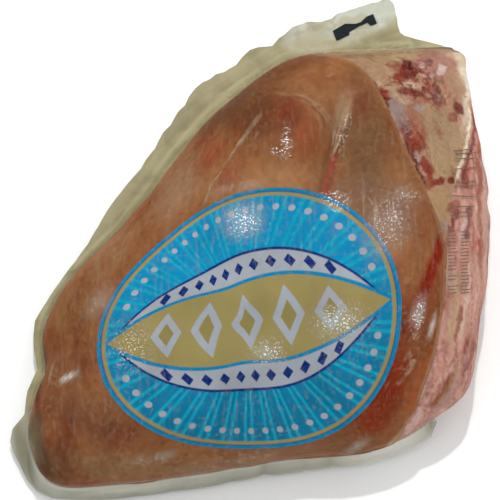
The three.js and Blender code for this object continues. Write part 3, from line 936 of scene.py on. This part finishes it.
# The border: the upper sheet leaves the meat and runs out to the edge, and the lower
# one runs back in underneath.
border_turns = steps_round(BORDER_SECTORS)
outward = np.stack([np.cos(border_turns), np.sin(border_turns), 0 * border_turns], -1)
meat_reach, meat_height = seen_from_middle(widest_curve, border_turns)
EDGE_HEIGHT_GUESS = 10.0        # bettered in a few rounds by the bag's own height there
EDGE_ROUNDS = 3
edge_points = []
for across, down in BORDER_EDGE:
    ray = sight_line(across, down)
    z = EDGE_HEIGHT_GUESS
    for _ in range(EDGE_ROUNDS):
        x, y, _ = eye + ray * (z - eye[2]) / ray[2] + shift
        edge_turn = math.atan2(y - MIDDLE[1], x - MIDDLE[0])
        z = seen_from_middle(bag_curve, edge_turn)[1]
    edge_points.append((edge_turn % (2 * math.pi), math.hypot(x - MIDDLE[0], y - MIDDLE[1])))
edge_turn, edge_reach = np.array(edge_points).T
bag_reach = np.interp(border_turns % (2 * np.pi), edge_turn, edge_reach, left=0, right=0)
_, bag_height = seen_from_middle(bag_curve, border_turns)
free = ease(0.2, 2.5, bag_reach - meat_reach)   # 0 where the bag hugs the meat
bag_reach = np.where(bag_reach > meat_reach, bag_reach, meat_reach - 3)
rim_height = bag_height * free + meat_height * (1 - free)
rim = np.append(MIDDLE, 0) + bag_reach[:, None] * outward + rim_height[:, None] * (0, 0, 1) - shift


def film_row(level):
    """The tight film's row nearest a level, at the border's own steps round the pack."""
    row = tight_grid[np.abs(levels - level).argmin()].T
    return np.stack([np.interp(border_turns, turns[0], part, period=2 * np.pi) for part in row], -1)


def sheet(level, step, finish, rows):
    """Rows of film that leave the tight film along its own slope and run out to the edge."""
    start = film_row(level) + outward * (BORDER_CLEAR - BORDER_HIDDEN * (1 - free))[:, None]
    slope = film_row(level + step) - film_row(level)
    slope = slope / np.maximum(np.linalg.norm(slope, axis=1, keepdims=True), 1e-9)
    reach = np.linalg.norm(finish - start, axis=1, keepdims=True)
    first = start + slope * reach * LEAVES_ALONG
    second = finish - outward * reach * MEETS_ALONG
    share = np.linspace(0, 1, rows)[:, None, None]
    keep = 1 - share
    return (keep ** 3 * start + 3 * keep ** 2 * share * first
            + 3 * keep * share ** 2 * second + share ** 3 * finish)


# The two sheets, then the border laid out flat as a ribbon, whose noise makes folds that
# run outwards.
upper = sheet(LEAVES_MEAT_AT, 0.03, rim + (0, 0, BORDER_THICKNESS / 2), SHEET_ROWS)
lower = sheet(MEETS_MEAT_AT, -0.1, rim - (0, 0, BORDER_THICKNESS / 2), UNDER_ROWS)[::-1]
border_grid = np.concatenate([upper, lower])
out_share = np.concatenate([np.linspace(0, 1, SHEET_ROWS), np.linspace(1, 0, UNDER_ROWS)])[:, None]
free = free[None, :]
width = (bag_reach - meat_reach)[None, :]
along = np.cumsum(np.linalg.norm(np.roll(rim, -1, 0) - rim, axis=1))[None, :]
ribbon = np.stack(np.broadcast_arrays(along * 0.13, out_share * (width + 6), 0 * along), -1)
streak = cloud(ribbon, 3.0, 71, 3)
border_px, border_py = picture_place(border_grid)
on_tab = patch(border_px, border_py, 350, 18, 70, 24, -22, 0.3) * free
on_lip = ease(400, 450, border_py) * free
border_normals = grid_normals(border_grid)
crumple = np.abs(cloud(border_grid * (1, 1, 0), 9, 75, 2))
puckers = cloud(border_grid * (1, 1, 0), 6, 95, 3)
at_rim = (1 - 0.8 * ease(0.9, 1.0, out_share)) * free
wave = 0.5 * streak * ease(0.2, 0.6, out_share) * at_rim
wave = wave + 1.0 * on_tab * crumple + 0.3 * on_lip * cloud(ribbon, 9, 90)
wave = wave + 0.3 * puckers * ease(0.3, 0.7, out_share) * at_rim
border_grid = border_grid + border_normals * wave[..., None]
border_grid[..., 2] = np.maximum(border_grid[..., 2], 0.05)
past = np.max(past_meat(border_px, border_py), axis=0)
border_cover = np.where(border_normals[..., 2] > 0, ease(-2.5, 1.0, past), ease(0.1, 0.4, out_share))
border_cover = border_cover * free * (0.93 + 0.06 * streak) * ease(0.0, 0.12, out_share)
tab_crease_shade = veins(border_grid * (1, 1, 0), 9, 99, 0.2) * on_tab * (1 - ease(335, 350, border_px))
fine_folds = cloud(ribbon * (0.4, 2.5, 1), 3.0, 97) * (1 - 0.7 * ease(0.4, 0.85, out_share))
ridge = np.exp(-((past - 8 - 1.5 * streak) / 2.6) ** 2) * (border_py < 330)
off_tab = 1 - on_tab
tab_foot = patch(border_px, border_py, 312, 36, 22, 9, -25, 0.8) * on_tab
lip_rim_shade = on_lip * ease(0.62, 0.9, out_share) * (1 - ease(290, 360, border_px))
left_fold = patch(border_px, border_py, 23, 452, 8, 34, -12, 0.6) * free
BORDER_TINTS = [
    # where it lies, its colour and its strength, from the first laid to the last
    (ease(0.0, 0.8, streak), "A09674", 0.8),
    (ease(0.1, 0.9, -streak), "8A805C", 0.8),
    (ease(0.75, 1.0, out_share) * off_tab, "9E9672", 0.6),
    ((1 - ease(1.0, 7.0, past)) * off_tab, "746A48", 0.7),
    (ridge, "ABA582", 0.5),
    (ease(0.1, 0.5, fine_folds), "A89E74", 0.4),
    (ease(0.1, 0.5, -fine_folds), "82784E", 0.4),
    # Paler and darker with the puckers' noise: painted light and shade on the puckers.
    (ease(0.1, 0.6, puckers), "A49B74", 0.4),
    (ease(0.1, 0.6, -puckers), "7A7250", 0.4),
    (ease(0.2, 0.8, on_tab), "BCBEB0", 0.9),
    # Darker with the tab's crumples and in its creases: painted shade.
    (on_tab * ease(0.25, 0.6, crumple), "A0977A", 0.6),
    (tab_crease_shade, "8F8B74", 0.55),
    ((1 - ease(8.0, 24.0, past)) * on_tab, "A2966F", 0.85),
    (tab_foot, "A69C7A", 0.6),
    (on_lip, "BDBAAD", 0.85),
    (on_lip * ease(330, 380, border_px), "D6D3CA", 0.8),
    # Darker grey on the lip's outer rim: painted shade of its underside.
    (lip_rim_shade, "A2A397", 0.5),
    (left_fold, "706C52", 0.8),
]
border_colour = np.ones(border_grid.shape) * srgb("8C8261")
for share, code, strength in BORDER_TINTS:
    border_colour = tint(border_colour, share, srgb(code), strength)
border_film = film_material("film_border", gloss_share=0.02, roughness=0.5, bump=0.3,
                            colour_field="border_colour", cover_field="cover",
                            cover_range=(0.96, 1.04))
grid_piece("bag_border", border_grid, border_film, "ring", {
    "border_colour": border_colour, "cover": border_cover, "grit_and_painted_glints": 0.04 * on_tab})

# ---- the print ------------------------------------------------------------------
# Ink on the inside of the film: a large oval label, a dark cutting mark on the tab and a
# sparse code in grey strokes over the sawn face.

LABEL_MIDDLE = (247.0, 322.0)   # in the picture
LABEL_TILT = math.radians(9)
# The label's reach in the picture every 12 degrees, anticlockwise from the right.
LABEL_REACH = [154, 157, 159, 158, 154, 148, 141, 134, 128, 122, 118, 117, 120, 127, 137,
               147, 154, 156, 152, 145, 138, 131, 127, 127, 131, 137, 143, 147, 150, 152]
LABEL_RINGS, LABEL_SECTORS = 60, 260
EDGE_SMOOTHINGS = 6
INK_DEPTH = 0.07                # how far the ink lies inside the film


def surface_tree(grid):
    """A grid that runs round, ready for rays to be cast on it."""
    points, faces = grid_mesh(grid, "disc")
    return BVHTree.FromPolygons(points.tolist(), faces)


def drape(tree, across, down, rise):
    """The places on a surface that the eye sees at places of the picture, lifted by rise."""
    found = []
    for a, d in zip(across.ravel(), down.ravel()):
        place, normal, _, _ = tree.ray_cast(Vector(eye), Vector(sight_line(a, d)))
        if normal.z < 0:
            normal = -normal
        found.append(place + normal * rise)
    return np.array(found).reshape(across.shape + (3,))


film_tree = surface_tree(tight_grid)
label_turns = np.linspace(0, 2 * np.pi, LABEL_SECTORS, endpoint=False)
reach_turns = np.linspace(0, 2 * np.pi, len(LABEL_REACH), endpoint=False)
reach = np.interp(label_turns, reach_turns, LABEL_REACH, period=2 * np.pi)
for _ in range(EDGE_SMOOTHINGS):
    reach = (np.roll(reach, 1) + 2 * reach + np.roll(reach, -1)) / 4
ring_share = (np.arange(1, LABEL_RINGS + 1) / LABEL_RINGS)[:, None]
label_grid = drape(film_tree, LABEL_MIDDLE[0] + ring_share * reach * np.cos(label_turns),
                   LABEL_MIDDLE[1] - ring_share * reach * np.sin(label_turns), -INK_DEPTH)
label_u = ring_share * np.cos(label_turns - LABEL_TILT)
label_v = ring_share * np.sin(label_turns - LABEL_TILT)


INK = {"Roughness": 0.4, "Specular IOR Level": 0.0}


class Amount:
    """A number that differs from place to place. Reckoning with it adds shader nodes."""

    def __init__(self, tree, socket):
        self.tree, self.socket = tree, socket

    def reckoned(self, operation, *terms):
        sockets = [term.socket if isinstance(term, Amount) else term for term in terms]
        return Amount(self.tree, maths(self.tree, operation, *sockets))

    def __add__(self, other):
        return self.reckoned("ADD", self, other)

    def __sub__(self, other):
        return self.reckoned("SUBTRACT", self, other)

    def __rsub__(self, other):
        return self.reckoned("SUBTRACT", other, self)

    def __mul__(self, other):
        return self.reckoned("MULTIPLY", self, other)

    def __truediv__(self, other):
        return self.reckoned("DIVIDE", self, other)

    def __pow__(self, other):
        return self.reckoned("POWER", self, other)

    def __abs__(self):
        return self.reckoned("ABSOLUTE", self)


def label_material():
    """Blue ground with fine rays, a gold ring, and a gold lens between two silver crescents."""
    material, tree, shader = new_material("label_ink", INK)

    def under(value, limit, soft=0.006):
        """1 where the value is under the limit."""
        past = (value - limit).socket
        return Amount(tree, ramp(tree, past, soft, -soft, interpolation_type="SMOOTHSTEP"))

    def beyond(value, limit):
        return under(limit - value, 0)

    def over(below, share, code):
        return laid_over(tree, share.socket, below, (*paint(code), 1))

    def cell(value, size):
        """The middle of the cell that a value falls in, and the way from it."""
        middle = value.reckoned("ROUND", value / size) * size
        return middle, abs(value - middle)

    def bow(along, reach):
        """1 in the middle of an arch, falling to 0 at its reach."""
        return 1 - (along / reach) ** 2

    label_place = add_node(tree, "UVMap", uv_map="print").outputs["UV"]
    parts = add_node(tree, "SeparateXYZ", {0: label_place}).outputs
    u, v, _ = (Amount(tree, part) for part in parts)
    away, rise, turn = u.reckoned("SQRT", u * u + v * v), abs(v), v.reckoned("ARCTAN2", v, u)

    _, from_ray = cell(turn, 0.19)
    ray = under(from_ray, 0.045) * beyond(from_ray, 0.018)
    colour = over((*paint("0084B2"), 1), under(v, -0.1, 0.5), "02749A")
    colour = over(colour, ray * beyond(away, 0.42), "069AB6")

    lens, crescent = bow(u, 0.93) * 0.30, bow(u, 0.90) * 0.52
    colour = over(colour, under(rise, crescent + 0.022), "16306E")
    colour = over(colour, under(rise, crescent), "9DA3AB")
    between = (lens + crescent) * 0.5
    _, from_spot = cell(u, 0.115)
    spot = from_spot / 0.036 + abs(rise - (between + 0.014)) / 0.05
    colour = over(colour, under(spot, 1, 0.1) * under(abs(u), 0.63), "16306E")
    colour = over(colour, under(rise, lens + 0.028), "047CA6")
    colour = over(colour, under(rise, lens), "968855")
    middle, from_diamond = cell(u, 0.27)
    diamond = from_diamond / 0.105 + rise / (bow(middle, 0.93) * 0.225)
    in_row = under(abs(middle), 0.6)
    colour = over(colour, under(diamond, 1, 0.04) * in_row, "9DA3AB")
    colour = over(colour, under(diamond, 0.5, 0.05) * in_row, "8B7E49")

    _, from_bead = cell(turn, 0.13)
    bead = (from_bead * away / 0.024) ** 2 + ((away - 0.86) / 0.024) ** 2
    colour = over(colour, under(bead, 1, 0.15) * beyond(rise, crescent + 0.1), "9DA3AB")
    for inner, code in ((0.942, "968855"), (0.968, "16578C"), (0.976, "047CA6")):
        colour = over(colour, beyond(away, inner), code)

    faded = mottled(tree, add_node(tree, "TexCoord").outputs["Object"], 60, 4)
    feed(tree, shader, {"Base Color": scaled(tree, colour, ramp(tree, faded, 0.3, 0.7, 0.88, 1.1))})
    return material


label = grid_piece("label_print", label_grid, label_material(), "disc").data
label_places = np.stack([np.append(label_u, 0), np.append(label_v, 0)], -1)
corner_points = np.zeros(len(label.loops), int)
label.loops.foreach_get("vertex_index", corner_points)
uv_layer = label.uv_layers.new(name="print")
uv_layer.data.foreach_set("uv", label_places[corner_points].ravel().astype(np.float32))

# The cutting mark's outline in the picture.
CUT_MARK = [
    (332.7, 31.1), (336.5, 41.1), (349.4, 34.9), (349.4, 32.5), (359, 26.3), (367.6, 22.8), (370, 25.6),
    (371.9, 26), (377, 23.9), (373.3, 14.4), (366.6, 17), (360.4, 22.5), (355.2, 24.1), (345.1, 23.9),
]
CODE_STROKES = [
    # across where it starts, down, length, droop in the picture
    (454, 150.5, 20, -1.5), (455, 153.5, 21, -1.0), (454, 158.5, 22, -0.5), (455, 169, 21, -1.5),
    (456, 182, 20, -1.0), (455, 186, 21, -0.5), (452, 195.5, 22, 1.0), (451, 206, 23, 0.5),
    (450, 212, 21, 0.0), (451, 216, 22, 0.0),
]


def flat_print(name, outline, tree, rise, material, spacing=1.2):
    """Ink of any outline drawn in the picture, laid on a surface."""
    outline = np.array(outline)
    low, high = outline.min(0), outline.max(0)
    xs, ys = np.meshgrid(np.arange(low[0], high[0], spacing), np.arange(low[1], high[1], spacing))
    inner = [Vector(pair) for pair in np.stack([xs.ravel(), ys.ravel()], -1)]
    rim = [Vector(pair) for pair in outline]
    places, _, faces, *_ = delaunay_2d_cdt(rim + inner, [], [list(range(len(rim)))], 1, 1e-4)
    flat = np.array([tuple(place) for place in places])
    used = sorted({i for face in faces for i in face})
    renumber = {old: new for new, old in enumerate(used)}
    points = drape(tree, flat[used, 0], flat[used, 1], rise)
    faces = [[renumber[i] for i in face][::-1] for face in faces]
    mesh_piece(name, points, faces, material)


MARK_RISE = 0.35                # how far the cutting mark lies over the crumpled tab
dark_ink, *_ = new_material("dark_ink", {**INK, "Base Color": (*srgb("23292C"), 1)})
border_tree = surface_tree(border_grid[:SHEET_ROWS])
flat_print("cut_mark", CUT_MARK, border_tree, MARK_RISE, dark_ink)


def ink_strokes(name, strokes, width, tree, rise, material, steps=8):
    """Short strokes of ink: each starts at a place in the picture and has a run and a drop."""
    points, faces = [], []
    for across, down, run, drop in strokes:
        share = np.linspace(0, 1, steps)
        length = math.hypot(run, drop)
        side_x, side_y = -drop / length * width / 2, run / length * width / 2
        x, y = across + share * run, down + share * drop
        sides_x, sides_y = np.stack([x - side_x, x + side_x]), np.stack([y - side_y, y + side_y])
        first = len(points)
        points += drape(tree, sides_x, sides_y, rise).reshape(-1, 3).tolist()
        left = range(first, first + steps - 1)
        faces += [(i, i + steps, i + steps + 1, i + 1) for i in left]
    mesh_piece(name, np.array(points), faces, material)


CODE_ROWS, CODE_BARS = 2, 19
ROW_GAP, BAR_GAP, STROKE_WIDTH = 13, 3.4, 0.9   # pixels of the picture
grey_ink, *_ = new_material("faded_ink", {**INK, "Base Color": (*srgb("6A5748"), 1)})
chance = np.random.default_rng(17)
code_bars = [(448 + ROW_GAP * row, 232 + BAR_GAP * bar, float(chance.uniform(6, 10.5)), -0.6)
             for row in range(CODE_ROWS) for bar in range(CODE_BARS) if chance.random() < 0.85]
ink_strokes("code_lines", CODE_STROKES + code_bars, STROKE_WIDTH, film_tree, -INK_DEPTH, grey_ink)
